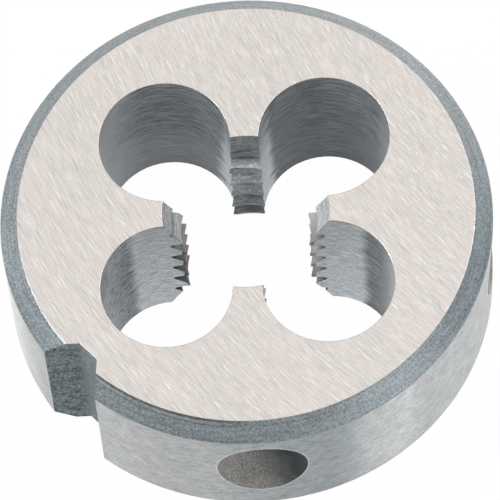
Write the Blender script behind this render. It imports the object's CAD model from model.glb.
import bpy
import bmesh
import math
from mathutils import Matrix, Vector


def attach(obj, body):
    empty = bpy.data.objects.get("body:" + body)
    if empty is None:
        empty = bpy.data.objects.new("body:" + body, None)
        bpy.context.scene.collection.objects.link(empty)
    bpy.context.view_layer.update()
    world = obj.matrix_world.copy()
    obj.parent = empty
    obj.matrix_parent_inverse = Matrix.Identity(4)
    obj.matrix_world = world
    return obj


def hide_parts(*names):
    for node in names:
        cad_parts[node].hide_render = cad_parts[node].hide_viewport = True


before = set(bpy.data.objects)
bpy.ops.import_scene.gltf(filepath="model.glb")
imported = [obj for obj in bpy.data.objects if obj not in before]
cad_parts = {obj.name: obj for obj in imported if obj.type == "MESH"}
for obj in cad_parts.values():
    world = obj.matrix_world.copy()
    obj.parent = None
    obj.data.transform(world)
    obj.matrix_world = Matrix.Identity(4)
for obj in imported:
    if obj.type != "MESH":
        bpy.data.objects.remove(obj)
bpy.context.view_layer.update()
print("frame loaded")

scene = bpy.context.scene
scene.view_settings.view_transform = "Standard"

# sizes of the die in millimetres, as its solid has them
die = {
    "rimRadius": 12.5,
    "thickness": 9.0,
    "chamferWidth": 0.9,
    "chamferHeight": 0.8,
    "chipHoleRadius": 3.35,
    "chipHoleOffset": 5.75,
    "chipHoleAzimuths": [45, 135, 225, 315],
    "mouthRadius": 4.25,
    "crestRadius": 3.25,
    "leadInDepth": 2.2,
    "notchAzimuth": 223,
    "notchRootRadius": 11.0,
    "seatAzimuths": [272, 356.5, 89.5, 174],
    "seatHeight": 4.95,
    "seatRadius": 2.5,
}


def fillRamp(ramp, stops):
    # the two ends first, so that the new stops fall between them in order
    ramp.elements[0].position = stops[0][0]
    ramp.elements[1].position = stops[-1][0]
    for place, color in stops[1:-1]:
        ramp.elements.new(place)
    for element, (place, color) in zip(ramp.elements, stops):
        element.color = color


class Wire:
    # one socket of a node tree: arithmetic on it adds Math nodes
    def __init__(self, tree, socket=None):
        self.tree = tree
        self.socket = socket

    def make(self, kind, settings, values, out=0):
        # any node: its settings first, then the value or link of each socket
        node = self.tree.nodes.new("ShaderNode" + kind)
        for name, value in settings.items():
            if name == "stops":
                fillRamp(node.color_ramp, value)
            else:
                setattr(node, name, value)
        for name, value in values.items():
            if isinstance(value, Wire):
                self.tree.links.new(value.socket, node.inputs[name])
            else:
                node.inputs[name].default_value = value
        return Wire(self.tree, node.outputs[out])

    def calc(self, operation, *others):
        values = {0: self}
        for i, other in enumerate(others):
            values[i + 1] = other
        return self.make("Math", {"operation": operation}, values)

    def __add__(self, other):
        return self.calc("ADD", other)

    __radd__ = __add__

    def __mul__(self, other):
        return self.calc("MULTIPLY", other)

    __rmul__ = __mul__

    def __sub__(self, other):
        return self.calc("SUBTRACT", other)

    def __rsub__(self, other):
        return self.make("Math", {"operation": "SUBTRACT"}, {0: other, 1: self})

    def __truediv__(self, other):
        return self.calc("DIVIDE", other)

    def __rtruediv__(self, other):
        return self.make("Math", {"operation": "DIVIDE"}, {0: other, 1: self})


def startMaterial(name):
    # an empty material with the place on the piece in millimetres
    material = bpy.data.materials.new(name)
    material.use_nodes = True
    tree = material.node_tree
    tree.nodes.clear()
    wire = Wire(tree)
    place = wire.make("TexCoord", {}, {}, "Object")
    mm = wire.make("VectorMath", {"operation": "SCALE"}, {0: place, "Scale": 1000.0})
    return material, wire, mm


def splitPlace(wire, mm):
    node = wire.make("SeparateXYZ", {}, {0: mm}).socket.node
    return [Wire(wire.tree, node.outputs[i]) for i in range(3)]


def join(wire, x, y, z):
    return wire.make("CombineXYZ", {}, {0: x, 1: y, 2: z})


def length(x, y):
    return (x * x + y * y).calc("SQRT")


def noise(wire, place, scale, detail, rough):
    return wire.make("TexNoise", {}, {"Vector": place, "Scale": scale, "Detail": detail, "Roughness": rough})


def streaks(wire, along, across, density, shift, detail, rough):
    # marks stretched along one direction; density is how many to the millimetre each way
    place = join(wire, along * density[0], across * density[1], shift)
    return noise(wire, place, 1.0, detail, rough)


def remap(wire, value, span, result=(0.0, 1.0)):
    # from one span to another, held at both ends
    return wire.make("MapRange", {"clamp": True}, {
        "Value": value, "From Min": span[0], "From Max": span[1], "To Min": result[0], "To Max": result[1]})


def tone(color):
    return (color[0], color[1], color[2], 1.0)


def mixColor(wire, factor, a, b, blend="MIX"):
    return wire.make("Mix", {"data_type": "RGBA", "blend_type": blend, "clamp_factor": True},
                     {0: factor, 6: a, 7: b}, 2)


def layer(wire, amount, under, over):
    # one plain colour laid over what is there
    return mixColor(wire, amount, under, tone(over))


def addSheen(wire, color, azimuth, levels):
    # brightness that changes round the die: azimuth in degrees, brightness and how blue it is
    stops = []
    for degrees, level, blue in levels:
        shade = (level * (1.0 - 0.09 * blue), level * (1.0 - 0.01 * blue), level * (1.0 + 0.025 * blue))
        stops.append((degrees / 360, tone(shade)))
    turn = (azimuth * (0.5 / math.pi) + 1.0).calc("FRACT")
    sheen = wire.make("ValToRGB", {"stops": stops}, {0: turn})
    return mixColor(wire, 1.0, color, sheen, "MULTIPLY")


def roughFrom(wire, pattern, settings):
    return remap(wire, pattern, (0.2, 0.8), settings["rough"])


def finishMetal(material, wire, settings, color, roughness, height, metallic=None):
    # steel with a softened edge: bump depth and edge radius are in metres
    edgeNormal = wire.make("Bevel", {"samples": 6}, {"Radius": settings["softEdge"]})
    bumped = wire.make("Bump", {}, {
        "Height": height, "Distance": settings["depth"], "Strength": 1.0, "Normal": edgeNormal})
    shader = wire.make("BsdfPrincipled", {}, {
        "Base Color": color, "Roughness": roughness, "Normal": bumped,
        "Metallic": settings["metal"] if metallic is None else metallic})
    output = wire.tree.nodes.new("ShaderNodeOutputMaterial")
    wire.tree.links.new(shader.socket, output.inputs["Surface"])
    return material


# the die body is the solid's own shape, with each surface told apart
regionNames = ["face", "chamfer", "rim", "chipHole", "thread", "leadIn", "notch", "seat"]
sorting = {
    "aligned": 0.99,       # cosine from which a facet counts as square to the axis or to the radius
    "upright": 0.03,       # slope up to which a facet counts as a wall along the axis
    "near": 0.03,          # millimetres within which a facet lies on a surface
    "steep": 0.5,          # bevels face at least this much outwards and upwards
    "tapered": 0.995,      # cosine to the cutting taper
    "landReach": 3.4,      # chip holes lie outside this radius
    "boreReach": 4.5,      # thread and tapers lie inside this one
    "notchMiddle": 11.7,
    "notchReach": 2.8,
    "notchMargin": 0.5,
    "smoothAngle": 12,     # degrees between facets up to which a surface is rounded
}


def azimuthVector(degrees, radius=1.0):
    turn = math.radians(degrees)
    return Vector((math.cos(turn), math.sin(turn), 0.0)) * radius


def sideOf(place):
    # 1 in the upper half of the die, -1 in the lower
    return 1.0 if place.z > die["thickness"] / 2 else -1.0


def leadInNormal(place):
    # the cutting taper opens towards the nearer face
    out = Vector((place.x, place.y, 0.0)).normalized()
    rise = sideOf(place) * (die["mouthRadius"] - die["crestRadius"])
    return (Vector((0, 0, rise)) - out * die["leadInDepth"]).normalized()


def regionOf(centre, normal):
    # centre in millimetres; returns the surface a facet belongs to
    out = Vector((centre.x, centre.y, 0.0))
    radius = out.length
    facing = normal.dot(out) / max(radius, 0.001)
    upright = abs(normal.z) < sorting["upright"]
    if abs(normal.z) > sorting["aligned"]:
        return "face"
    if upright:
        for azimuth in die["chipHoleAzimuths"]:
            gap = (out - azimuthVector(azimuth, die["chipHoleOffset"])).length
            if abs(gap - die["chipHoleRadius"]) < sorting["near"] and radius > sorting["landReach"]:
                return "chipHole"
        if radius > die["rimRadius"] - sorting["near"] and facing > sorting["aligned"]:
            return "rim"
    if radius < sorting["boreReach"]:
        return "leadIn" if abs(leadInNormal(centre).dot(normal)) > sorting["tapered"] else "thread"
    level = min(centre.z, die["thickness"] - centre.z)
    if level < die["chamferHeight"] and min(facing, abs(normal.z)) > sorting["steep"]:
        return "chamfer"
    way = azimuthVector(die["notchAzimuth"])
    if upright and out.dot(way) > die["notchRootRadius"] - sorting["notchMargin"]:
        if (out - way * sorting["notchMiddle"]).length < sorting["notchReach"]:
            return "notch"
    return "seat"


def trueNormal(region, place, flat):
    # the normal of the turned, drilled or ground surface at a corner
    out = Vector((place.x, place.y, 0.0)).normalized()
    if region == "face":
        return Vector((0, 0, 1.0 if flat.z > 0 else -1.0))
    if region == "rim":
        return out
    if region == "chamfer":
        return (out * die["chamferHeight"] + Vector((0, 0, sideOf(place) * die["chamferWidth"]))).normalized()
    if region == "chipHole":
        axes = [azimuthVector(a, die["chipHoleOffset"]) for a in die["chipHoleAzimuths"]]
        flatPlace = Vector((place.x, place.y, 0.0))
        axis = min(axes, key=lambda a: (flatPlace - a).length)
        return (axis - flatPlace).normalized()
    if region == "seat":
        azimuths = [azimuthVector(a) for a in die["seatAzimuths"]]
        axis = max(azimuths, key=lambda a: a.dot(out))
        tip = axis * (die["rimRadius"] - die["seatRadius"]) + Vector((0, 0, die["seatHeight"]))
        arm = place - tip
        across = arm - axis * arm.dot(axis)
        if across.length > 0.05:
            return (axis - across.normalized()).normalized()
    if region == "leadIn":
        return leadInNormal(place)
    return None


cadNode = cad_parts["threading_die"]
shape = bmesh.new()
shape.from_mesh(cadNode.data)
bmesh.ops.remove_doubles(shape, verts=shape.verts, dist=1e-7)
for edge in shape.edges:
    edge.smooth = edge.calc_face_angle(0.0) < math.radians(sorting["smoothAngle"])
for facet in shape.faces:
    facet.smooth = True
    facet.material_index = regionNames.index(regionOf(facet.calc_center_median() * 1000, facet.normal))
for edge in shape.edges:
    if len({facet.material_index for facet in edge.link_faces}) > 1:
        edge.smooth = False
bodyMesh = bpy.data.meshes.new("dieBody")
shape.to_mesh(bodyMesh)
shape.free()
cornerNormals = [Vector(corner.vector) for corner in bodyMesh.corner_normals]
for facet in bodyMesh.polygons:
    region = regionNames[facet.material_index]
    for corner in facet.loop_indices:
        place = bodyMesh.vertices[bodyMesh.loops[corner].vertex_index].co * 1000
        normal = trueNormal(region, place, facet.normal)
        if normal is not None:
            cornerNormals[corner] = normal
bodyMesh.normals_split_custom_set(cornerNormals)
dieBody = bpy.data.objects.new("dieBody", bodyMesh)
scene.collection.objects.link(dieBody)
print("die body shaped", len(bodyMesh.polygons), "facets",
      {name: sum(f.material_index == i for f in bodyMesh.polygons) for i, name in enumerate(regionNames)})


# finishes: ground outside, left grey from the furnace inside
# "...Marks" are how many marks there are to the millimetre, along and across
faceFinish = {
    "light": (0.725, 0.68, 0.65), "dark": (0.475, 0.45, 0.425), "warm": (0.70, 0.605, 0.55),
    "warmFleck": (0.735, 0.635, 0.5775), "cool": (0.55, 0.575, 0.565), "glint": (0.92, 0.90, 0.88),
    "nick": (0.34, 0.315, 0.30),
    "wheelCentre": (48.0, 31.7), "wheelRadius": 57.5,
    "fineMarks": (1.0, 17.0), "wideMarks": (0.16, 3.2), "tintMarks": (0.10, 1.1),
    "glintMarks": (0.9, 12.0), "nickMarks": (0.9, 13.0), "fleckMarks": (1.2, 7.0), "grit": 14.0,
    "rough": (0.30, 0.44), "metal": 0.8, "depth": 0.000003, "softEdge": 0.00007,
}


def groundFace(settings):
    # grinding marks: long shallow arcs about the wheel's far centre
    material, wire, mm = startMaterial("faceSteel")
    x, y, z = splitPlace(wire, mm)
    dx = x - settings["wheelCentre"][0]
    dy = y - settings["wheelCentre"][1]
    across = length(dx, dy)
    along = dy.calc("ARCTAN2", dx * -1.0) * settings["wheelRadius"]
    fine = streaks(wire, along, across, settings["fineMarks"], z, 3.0, 0.6)
    wide = streaks(wire, along, across, settings["wideMarks"], 3.0, 2.0, 0.5)
    tint = streaks(wire, along, across, settings["tintMarks"], 9.0, 2.0, 0.5)
    fleck = streaks(wire, along, across, settings["fleckMarks"], 21.0, 1.0, 0.5)
    glint = remap(wire, streaks(wire, along, across, settings["glintMarks"], 5.0, 1.0, 0.5), (0.62, 0.74))
    nick = remap(wire, streaks(wire, along, across, settings["nickMarks"], 14.0, 1.0, 0.5), (0.63, 0.75))
    grit = noise(wire, mm, settings["grit"], 1.0, 0.5)
    blend = remap(wire, fine * 0.6 + wide * 0.15 + grit * 0.25, (0.38, 0.62))
    color = mixColor(wire, blend, tone(settings["dark"]), tone(settings["light"]))
    color = layer(wire, remap(wire, tint, (0.45, 0.7), (0.0, 0.3)), color, settings["warm"])
    color = layer(wire, remap(wire, fleck, (0.58, 0.72), (0.0, 0.4)), color, settings["warmFleck"])
    color = layer(wire, remap(wire, fleck, (0.42, 0.30), (0.0, 0.4)), color, settings["cool"])
    color = layer(wire, glint * 0.55, color, settings["glint"])
    color = layer(wire, nick * 0.4, color, settings["nick"])
    height = fine * 0.6 + glint * 0.5 - nick * 0.5
    return finishMetal(material, wire, settings, color, roughFrom(wire, fine, settings), height)


rimFinish = {
    "light": (0.99, 0.995, 0.99), "dark": (0.46, 0.475, 0.475), "burnish": (0.90, 0.92, 0.92),
    "warmTint": (1.0, 0.965, 0.92), "coolTint": (0.92, 0.98, 1.0),
    "fineMarks": (2.4, 13.0), "tintMarks": (1.2, 4.0), "cloud": 1.3, "grit": 12.0,
    "lipEdge": (0.11, 0.05),     # millimetres from a screw seat
    # azimuth in degrees, brightness of the ground sheen there and how blue it is
    "sheen": [
        (0, 0.69, 0.2), (120, 0.67, 0.2), (190, 1.0, 0.1), (197, 0.98, 0.1), (212, 0.63, 0.1),
        (236, 0.68, 0.1), (247, 0.59, 0.1), (262, 0.58, 0.3), (272, 0.48, 0.8), (289, 0.43, 1.0),
        (294, 0.58, 0.9), (298, 0.73, 0.2), (309, 0.85, 0.1), (313, 0.71, 0.3), (335, 0.69, 0.3),
    ],
    "rough": (0.33, 0.47), "metal": 0.8, "depth": 0.000003, "softEdge": 0.00007,
}


def seatPlace(x, y, z, azimuth):
    # along the rim and up from the middle of one screw seat, and out from the die's axis
    way = azimuthVector(azimuth)
    return y * way.x - x * way.y, z - die["seatHeight"], x * way.x + y * way.y


def groundRim(settings):
    # fine streaks round the rim, a bright worn line about each screw seat
    material, wire, mm = startMaterial("rimSteel")
    x, y, z = splitPlace(wire, mm)
    azimuth = y.calc("ARCTAN2", x)
    arc = azimuth * die["rimRadius"]
    fine = streaks(wire, arc, z, settings["fineMarks"], length(x, y), 2.0, 0.6)
    tint = streaks(wire, arc, z, settings["tintMarks"], 31.0, 2.0, 0.6)
    cloud = noise(wire, mm, settings["cloud"], 3.0, 0.5)
    grit = noise(wire, mm, settings["grit"], 1.0, 0.5)
    blend = remap(wire, fine * 0.5 + cloud * 0.2 + grit * 0.3, (0.37, 0.63))
    color = mixColor(wire, blend, tone(settings["dark"]), tone(settings["light"]))
    color = addSheen(wire, color, azimuth, settings["sheen"])
    warm = remap(wire, tint, (0.52, 0.66), (0.0, 0.8))
    cool = remap(wire, tint, (0.48, 0.34), (0.0, 0.8))
    color = mixColor(wire, warm, color, tone(settings["warmTint"]), "MULTIPLY")
    color = mixColor(wire, cool, color, tone(settings["coolTint"]), "MULTIPLY")
    for seatAzimuth in die["seatAzimuths"]:
        along, up, out = seatPlace(x, y, z, seatAzimuth)
        beyond = length(along, up) + (die["rimRadius"] - die["seatRadius"] - out)
        lip = remap(wire, beyond, settings["lipEdge"]) * remap(wire, out, (0.0, 1.0))
        color = layer(wire, lip * 0.3, color, settings["burnish"])
    return finishMetal(material, wire, settings, color, roughFrom(wire, fine, settings), fine)


chamferFinish = {
    "light": (0.445, 0.495, 0.52), "dark": (0.19, 0.226, 0.243), "line": (0.10, 0.13, 0.14),
    "fleck": (0.62, 0.66, 0.68), "lineMarks": (0.22, 7.0), "speckle": 9.0, "fleckScale": 11.0,
    # radius and brightness of the turned rings, clearest on the front left
    "rings": [
        (11.60, 0.42), (11.68, 0.52), (11.72, 1.12), (11.79, 1.08), (11.83, 0.62), (11.88, 0.95),
        (11.98, 1.0), (12.35, 0.95), (12.5, 0.8),
    ],
    "ringAzimuth": 243, "ringReach": (0.90, 0.97),     # cosine of the turn from that azimuth
    # azimuth in degrees, brightness of the skin there and how blue it is
    "sheen": [
        (0, 0.87, 0.3), (40, 1.15, -0.8), (80, 1.0, -0.5), (130, 0.87, -0.4), (185, 0.97, 0.0), (205, 0.76, 0.1),
        (240, 0.94, 0.0), (300, 0.97, 0.0), (325, 0.95, 0.1), (345, 0.74, 0.4), (360, 0.87, 0.3),
    ],
    "rough": (0.34, 0.48), "metal": 0.8, "depth": 0.000006, "softEdge": 0.00008,
}


def turnedChamfer(settings):
    # turning lines round the bevel under a speckled grey skin
    material, wire, mm = startMaterial("chamferSteel")
    x, y, z = splitPlace(wire, mm)
    radius = length(x, y)
    azimuth = y.calc("ARCTAN2", x)
    lines = streaks(wire, azimuth * die["rimRadius"], radius, settings["lineMarks"], 2.0, 2.0, 0.5)
    speck = noise(wire, mm, settings["speckle"], 2.0, 0.6)
    fleck = remap(wire, noise(wire, mm, settings["fleckScale"], 1.0, 0.5), (0.66, 0.74))
    blend = remap(wire, lines * 0.35 + speck * 0.65, (0.37, 0.63))
    color = mixColor(wire, blend, tone(settings["dark"]), tone(settings["light"]))
    color = layer(wire, remap(wire, lines, (0.60, 0.72), (0.0, 0.5)), color, settings["line"])
    inner = die["rimRadius"] - die["chamferWidth"]
    width = die["chamferWidth"]
    stops = [((place - inner) / width, tone((level, level, level))) for place, level in settings["rings"]]
    rings = wire.make("ValToRGB", {"stops": stops}, {0: (radius - inner) / width})
    way = azimuthVector(settings["ringAzimuth"])
    shown = remap(wire, (x * way.x + y * way.y) / radius, settings["ringReach"], (0.12, 1.0))
    color = mixColor(wire, shown, color, rings, "MULTIPLY")
    color = layer(wire, fleck * 0.5, color, settings["fleck"])
    color = addSheen(wire, color, azimuth, settings["sheen"])
    height = lines * 0.5 + speck * 0.5
    return finishMetal(material, wire, settings, color, roughFrom(wire, speck, settings), height)


holeFinish = {
    "skin": (0.335, 0.368, 0.392), "skinDark": (0.076, 0.09, 0.101), "side": (0.50, 0.525, 0.535),
    "ground": (0.72, 0.765, 0.79), "groundDark": (0.30, 0.335, 0.355),
    "pit": (0.055, 0.062, 0.066), "lip": (0.16, 0.11, 0.095),
    "streakMarks": (0.75, 6.0), "fineMarks": (1.5, 12.0), "raggedMarks": (0.5, 2.2), "tearMarks": (0.55, 6.0),
    "blotMarks": (2.2, 5.0), "mottle": 4.5, "grit": 11.0,
    "holeShift": (23.0, 41.0),     # moves the pattern, so that no two walls are alike
    "lipEdge": (0.09, 0.03),     # millimetres below the upper face
    # where the ground zone gives way to skin, and how much that edge frays by the back land
    "groundEdge": (0.32, 0.47), "fray": 0.35,
    # heights in millimetres between which a stain grows
    "foot": (2.3, 1.2), "low": (4.5, 2.5), "upper": (5.8, 7.2),
    "metal": (0.15, 0.8), "rough": (0.37, 0.53), "depth": 0.000014, "softEdge": 0.00006,
}


def drilledWall(settings):
    # drilled skin on the outer side of each hole, ground steel on the side towards the lands
    material, wire, mm = startMaterial("chipHoleSteel")
    x, y, z = splitPlace(wire, mm)
    radius = die["chipHoleRadius"]
    middle = die["chipHoleOffset"] * math.sqrt(0.5)
    u = x.calc("ABSOLUTE") - middle
    v = y.calc("ABSOLUTE") - middle
    outward = (u + v) * (math.sqrt(0.5) / radius)
    shift = settings["holeShift"]
    arc = v.calc("ARCTAN2", u) * radius + x.calc("SIGN") * shift[0] + y.calc("SIGN") * shift[1]
    streak = streaks(wire, arc, z, settings["streakMarks"], 0.0, 4.0, 0.6)
    fine = streaks(wire, arc, z, settings["fineMarks"], 6.0, 2.0, 0.6)
    ragged = streaks(wire, arc, z, settings["raggedMarks"], 4.0, 3.0, 0.6)
    tear = streaks(wire, arc, z, settings["tearMarks"], 12.0, 3.0, 0.6)
    blot = streaks(wire, arc, z, settings["blotMarks"], 21.0, 4.0, 0.8)
    mottle = noise(wire, mm, settings["mottle"], 3.0, 0.6)
    grit = noise(wire, mm, settings["grit"], 1.0, 0.5)
    # the ground zone ends in a torn edge, which leans where it meets the back land
    back = remap(wire, y, (1.0, 2.0))
    leftLean = remap(wire, x, (-1.0, -2.0)) * remap(wire, z, (2.2, 4.8), (-0.16, 0.08))
    lean = back * (remap(wire, z, (3.5, 7.5), (0.0, 0.10)) + leftLean)
    frayed = (ragged - 0.5) * (back * settings["fray"])
    cleaned = remap(wire, ragged * 0.3 + fine * 0.12 + frayed - outward - lean, settings["groundEdge"])
    blend = remap(wire, streak * 0.6 + fine * 0.25 + mottle * 0.15, (0.42, 0.58))
    skin = mixColor(wire, blend, tone(settings["skinDark"]), tone(settings["skin"]))
    skin = layer(wire, remap(wire, tear, (0.54, 0.60), (0.0, 0.8)), skin, settings["pit"])
    skin = layer(wire, remap(wire, z + tear * 2.5, settings["foot"], (0.0, 0.6)), skin, settings["pit"])
    # each wall has its own stain
    leftward = remap(wire, x, (0.0, -1.0))
    rightward = 1.0 - leftward
    backward = remap(wire, y, (0.0, 1.0))
    frontward = 1.0 - backward
    backRight = rightward * backward
    frontRight = rightward * frontward
    low = remap(wire, z, settings["low"], (0.0, 0.3))
    light = remap(wire, u, (radius * 0.4, radius), (0.0, 0.6)) * leftward * (frontward * 0.4 + 1.0)
    light = light + remap(wire, u, (radius * 0.8, radius), (0.0, 0.7)) * backRight
    light = light + remap(wire, outward, (0.15, 0.5), (0.0, 0.9)) * frontRight
    light = light + low * leftward
    light = light + low * remap(wire, u, (radius * 0.5, radius * 0.8)) * backRight
    skin = layer(wire, light, skin, settings["side"])
    upper = remap(wire, z, settings["upper"], (0.0, 0.45)) * remap(wire, outward, (0.2, 0.5))
    dark = backRight * 0.13 + upper * leftward * frontward
    dark = dark + remap(wire, outward, (0.30, 0.05), (0.0, 0.18)) * frontRight
    skin = layer(wire, dark, skin, settings["pit"])
    skin = layer(wire, remap(wire, mottle, (0.58, 0.72), (0.0, 0.6)), skin, settings["pit"])
    speckled = frontward * 0.4 + frontward * leftward * 0.5
    skin = layer(wire, remap(wire, blot, (0.50, 0.58)) * speckled, skin, settings["pit"])
    ground = mixColor(wire, remap(wire, fine * 0.7 + grit * 0.3, (0.36, 0.64)),
                      tone(settings["groundDark"]), tone(settings["ground"]))
    color = mixColor(wire, cleaned, skin, ground)
    below = die["thickness"] - z
    color = layer(wire, remap(wire, below, settings["lipEdge"], (0.0, 0.6)), color, settings["lip"])
    metal = remap(wire, cleaned, (0.0, 1.0), settings["metal"])
    height = streak * 0.7 + fine * 0.3
    return finishMetal(material, wire, settings, color, roughFrom(wire, streak, settings), height, metal)


# both finishes of the bore share their marks; the amounts say how far each kind of age has gone
boreMarks = {
    "marks": (0.7, 6.0), "grain": 8.0, "dullColor": (0.25, 0.235, 0.24), "sootColor": (0.035, 0.033, 0.033),
    "crestColor": (0.19, 0.155, 0.15), "grooveColor": (0.03, 0.033, 0.036), "depth": 0.00001, "softEdge": 0.00004,
    # millimetres between which a stain grows: across the die, up it, and out from the crests
    "rightLand": (2.0, 2.6), "leftLand": (-2.2, -2.6), "leftMouth": (-2.5, -3.2), "backMouth": (3.6, 4.6),
    "downward": (7.0, 2.0), "dullTop": (6.2, 6.6), "sootDepth": (8.6, 5.8),
    "crestBand": (0.12, 0.03), "grooveBand": (0.3, 0.62),
}
threadFinish = {
    **boreMarks,
    "light": (0.62, 0.65, 0.67), "dark": (0.33, 0.36, 0.38), "line": (0.09, 0.105, 0.115),
    "rough": (0.44, 0.56), "metal": 0.45, "streaks": 0.6, "backStain": 0.0, "leftStain": 0.0,
    "deepShade": 0.54, "grooveShade": 0.72, "soot": 0.88, "dull": 0.5,
}
leadInFinish = {
    **boreMarks,
    "light": (1.0, 1.0, 0.99), "dark": (0.58, 0.605, 0.61), "line": (0.06, 0.078, 0.085),
    "rough": (0.30, 0.42), "metal": 0.5, "streaks": 0.7, "backStain": 0.62, "leftStain": 0.3,
    "deepShade": 0.0, "grooveShade": 0.0, "soot": 0.0, "dull": 0.0,
}


def cutThread(name, settings):
    # tool marks follow the thread round; each land has aged in its own way
    material, wire, mm = startMaterial(name)
    x, y, z = splitPlace(wire, mm)
    arc = y.calc("ARCTAN2", x) * die["crestRadius"]
    radius = length(x, y)
    marks = streaks(wire, arc, z, settings["marks"], radius * 1.5, 3.0, 0.65)
    grain = noise(wire, mm, settings["grain"], 2.0, 0.6)
    color = mixColor(wire, remap(wire, marks * 0.65 + grain * 0.35, (0.45, 0.55)),
                     tone(settings["dark"]), tone(settings["light"]))
    lined = remap(wire, marks, (0.56, 0.60), (0.0, settings["streaks"]))
    lined = lined * remap(wire, x, settings["rightLand"], (1.0, 0.5))
    color = layer(wire, lined, color, settings["line"])
    # dark at the back, on the left and deep in the bore
    backStain = remap(wire, y + marks * 2.0, settings["backMouth"], (0.0, settings["backStain"]))
    color = layer(wire, backStain, color, settings["line"])
    leftStain = remap(wire, x, settings["leftMouth"], (0.0, settings["leftStain"]))
    color = layer(wire, leftStain, color, settings["line"])
    deepShade = remap(wire, z, settings["downward"], (0.0, settings["deepShade"]))
    color = layer(wire, deepShade, color, settings["line"])
    # dull on the right
    dull = remap(wire, x, settings["rightLand"], (0.0, settings["dull"]))
    dull = dull * remap(wire, z, settings["dullTop"], (1.0, 1.9))
    color = layer(wire, dull, color, settings["dullColor"])
    # sooty on the left, with brownish crests
    into = radius - die["crestRadius"]
    crest = remap(wire, into, settings["crestBand"])
    soot = mixColor(wire, crest, tone(settings["sootColor"]), tone(settings["crestColor"]))
    sooty = remap(wire, x, settings["leftLand"]) * remap(wire, z, settings["sootDepth"], (0.0, settings["soot"]))
    color = mixColor(wire, sooty, color, soot)
    groove = remap(wire, into, settings["grooveBand"], (0.0, settings["grooveShade"]))
    color = layer(wire, groove, color, settings["grooveColor"])
    return finishMetal(material, wire, settings, color, roughFrom(wire, grain, settings), marks)


notchFinish = {
    "light": (0.28, 0.33, 0.345), "dark": (0.055, 0.075, 0.083), "fleck": (0.42, 0.47, 0.47),
    "root": (0.26, 0.31, 0.32), "grain": 6.5, "lineScale": (0.3, 0.3, 2.4), "fleckScale": 9.0, "cloud": 2.0,
    "rootSkin": (0.02, 0.2),     # millimetres out from the flat root
    "rough": (0.54, 0.66), "metal": 0.8, "depth": 0.000016, "softEdge": 0.00006,
}


def milledNotch(settings):
    # grainy furnace skin with faint level cutter lines
    material, wire, mm = startMaterial("notchSteel")
    x, y, z = splitPlace(wire, mm)
    grain = noise(wire, mm, settings["grain"], 3.0, 0.65)
    scale = settings["lineScale"]
    lines = noise(wire, join(wire, x * scale[0], y * scale[1], z * scale[2]), 1.0, 3.0, 0.6)
    fleck = remap(wire, noise(wire, mm, settings["fleckScale"], 1.0, 0.5), (0.62, 0.70))
    cloud = noise(wire, mm, settings["cloud"], 2.0, 0.5)
    color = mixColor(wire, remap(wire, grain * 0.55 + lines * 0.2 + cloud * 0.25, (0.43, 0.57)),
                     tone(settings["dark"]), tone(settings["light"]))
    color = layer(wire, remap(wire, lines, (0.56, 0.64), (0.0, 0.6)), color, settings["dark"])
    color = layer(wire, fleck * 0.6, color, settings["fleck"])
    way = azimuthVector(die["notchAzimuth"])
    depth = x * way.x + y * way.y - die["notchRootRadius"]
    color = layer(wire, remap(wire, depth, settings["rootSkin"], (0.5, 0.0)), color, settings["root"])
    return finishMetal(material, wire, settings, color, roughFrom(wire, grain, settings), grain)


seatFinish = {
    "light": (0.42, 0.405, 0.38), "dark": (0.13, 0.132, 0.128), "middle": (0.075, 0.09, 0.095),
    "shade": (0.022, 0.03, 0.033), "grain": 13.0, "cloud": 1.6,
    # millimetres across the seat between which it darkens, and past its mouth where that fades
    "middleSide": (-0.2, 0.9), "shadeSide": (0.7, 1.9), "mouthEdge": (0.3, 0.2),
    "rough": (0.54, 0.66), "metal": 0.1, "depth": 0.00001, "softEdge": 0.00005,
}


def drilledSeat(settings):
    # warm and grainy on the clean side, oil-black on the other
    material, wire, mm = startMaterial("seatSteel")
    x, y, z = splitPlace(wire, mm)
    grain = noise(wire, mm, settings["grain"], 2.0, 0.6)
    cloud = noise(wire, mm, settings["cloud"], 2.0, 0.5)
    color = mixColor(wire, remap(wire, grain * 0.8 + cloud * 0.2, (0.36, 0.64)),
                     tone(settings["dark"]), tone(settings["light"]))
    for seatAzimuth in die["seatAzimuths"]:
        along, up, out = seatPlace(x, y, z, seatAzimuth)
        near = remap(wire, length(along, up) - die["seatRadius"], settings["mouthEdge"])
        near = near * remap(wire, out, (0.0, 1.0))
        side = along + up * 0.45 + cloud * 1.6
        middle = remap(wire, side, settings["middleSide"]) * near
        shade = remap(wire, side, settings["shadeSide"]) * near
        color = layer(wire, middle * 0.75, color, settings["middle"])
        color = layer(wire, shade * 0.92, color, settings["shade"])
    return finishMetal(material, wire, settings, color, roughFrom(wire, grain, settings), grain)


finishes = {
    "face": groundFace(faceFinish), "chamfer": turnedChamfer(chamferFinish), "rim": groundRim(rimFinish),
    "chipHole": drilledWall(holeFinish), "thread": cutThread("threadSteel", threadFinish),
    "leadIn": cutThread("leadInSteel", leadInFinish), "notch": milledNotch(notchFinish),
    "seat": drilledSeat(seatFinish),
}
for region in regionNames:
    bodyMesh.materials.append(finishes[region])
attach(dieBody, "root")
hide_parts("threading_die")
print("finishes set")


# floor, light and camera, in metres
stageSettings = {
    "floorSize": 3.0, "floorColor": (0.9, 0.9, 0.9, 1.0), "seenWhite": 0.985, "mirroredWhite": 0.9,
    "skyStrength": 0.5, "white": (1.0, 1.0, 1.0, 1.0), "aim": (0, 0, 0.005),
}

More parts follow.
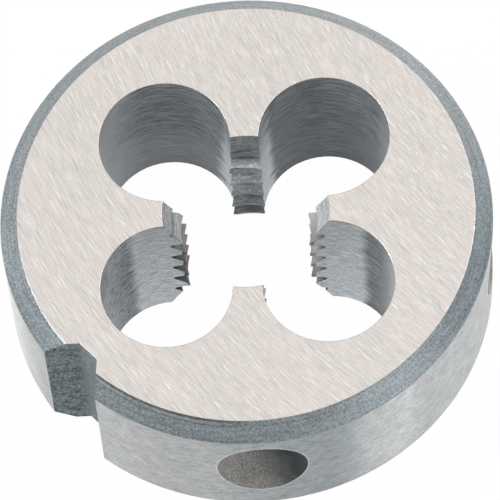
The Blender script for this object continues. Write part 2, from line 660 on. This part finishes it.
floorShape = bmesh.new()
bmesh.ops.create_grid(floorShape, x_segments=1, y_segments=1, size=stageSettings["floorSize"] / 2)
floorMesh = bpy.data.meshes.new("floor")
floorShape.to_mesh(floorMesh)
floorShape.free()
floor = bpy.data.objects.new("floor", floorMesh)
scene.collection.objects.link(floor)
paper = bpy.data.materials.new("paper")
paper.use_nodes = True
paper.node_tree.nodes.clear()
wire = Wire(paper.node_tree)
cameraRay = wire.make("LightPath", {}, {}, "Is Camera Ray")
glossyRay = Wire(wire.tree, cameraRay.socket.node.outputs["Is Glossy Ray"])
clearRay = Wire(wire.tree, cameraRay.socket.node.outputs["Is Transmission Ray"])
matt = wire.make("BsdfDiffuse", {}, {"Color": stageSettings["floorColor"]})
white = wire.make("Emission", {}, {"Color": stageSettings["white"], "Strength": 1.0})
seen = (cameraRay + clearRay).calc("MINIMUM", 1.0) * stageSettings["seenWhite"]
seen = seen.calc("MAXIMUM", glossyRay * stageSettings["mirroredWhite"])
mixed = wire.make("MixShader", {}, {0: seen, 1: matt, 2: white})
output = paper.node_tree.nodes.new("ShaderNodeOutputMaterial")
paper.node_tree.links.new(mixed.socket, output.inputs["Surface"])
floorMesh.materials.append(paper)

world = bpy.data.worlds.new("studio")
scene.world = world
world.use_nodes = True
background = world.node_tree.nodes["Background"]
background.inputs["Color"].default_value = stageSettings["white"]
background.inputs["Strength"].default_value = stageSettings["skyStrength"]

lamps = [
    {"name": "overheadLamp", "place": (0.14, 0.38, 0.76), "size": 0.9, "power": 1.7},
    {"name": "keyLamp", "place": (-0.36, 0.02, 0.34), "size": 0.20, "power": 1.5},
    {"name": "fillLamp", "place": (0.34, 0.14, 0.34), "size": 0.22, "power": 0.95},
    {"name": "sideLamp", "place": (0.33, -0.27, 0.18), "size": 0.24, "power": 0.20},
]
for lamp in lamps:
    light = bpy.data.lights.new(lamp["name"], "AREA")
    light.size = lamp["size"]
    light.energy = lamp["power"]
    holder = bpy.data.objects.new(lamp["name"], light)
    holder.location = lamp["place"]
    aim = Vector(stageSettings["aim"]) - holder.location
    holder.rotation_euler = aim.to_track_quat("-Z", "Y").to_euler()
    scene.collection.objects.link(holder)

view = {
    "place": (0.006450, -0.114411, 0.242864), "turn": (0.446487, 0.037428, -0.022517), "lens": 370.88,
    "filmWidth": 36.0, "shift": -0.002,
}
lensData = bpy.data.cameras.new("camera")
lensData.lens = view["lens"]
lensData.sensor_width = view["filmWidth"]
lensData.shift_x = view["shift"]
camera = bpy.data.objects.new("camera", lensData)
camera.location = view["place"]
camera.rotation_euler = view["turn"]
scene.collection.objects.link(camera)
scene.camera = camera
print("stage set")
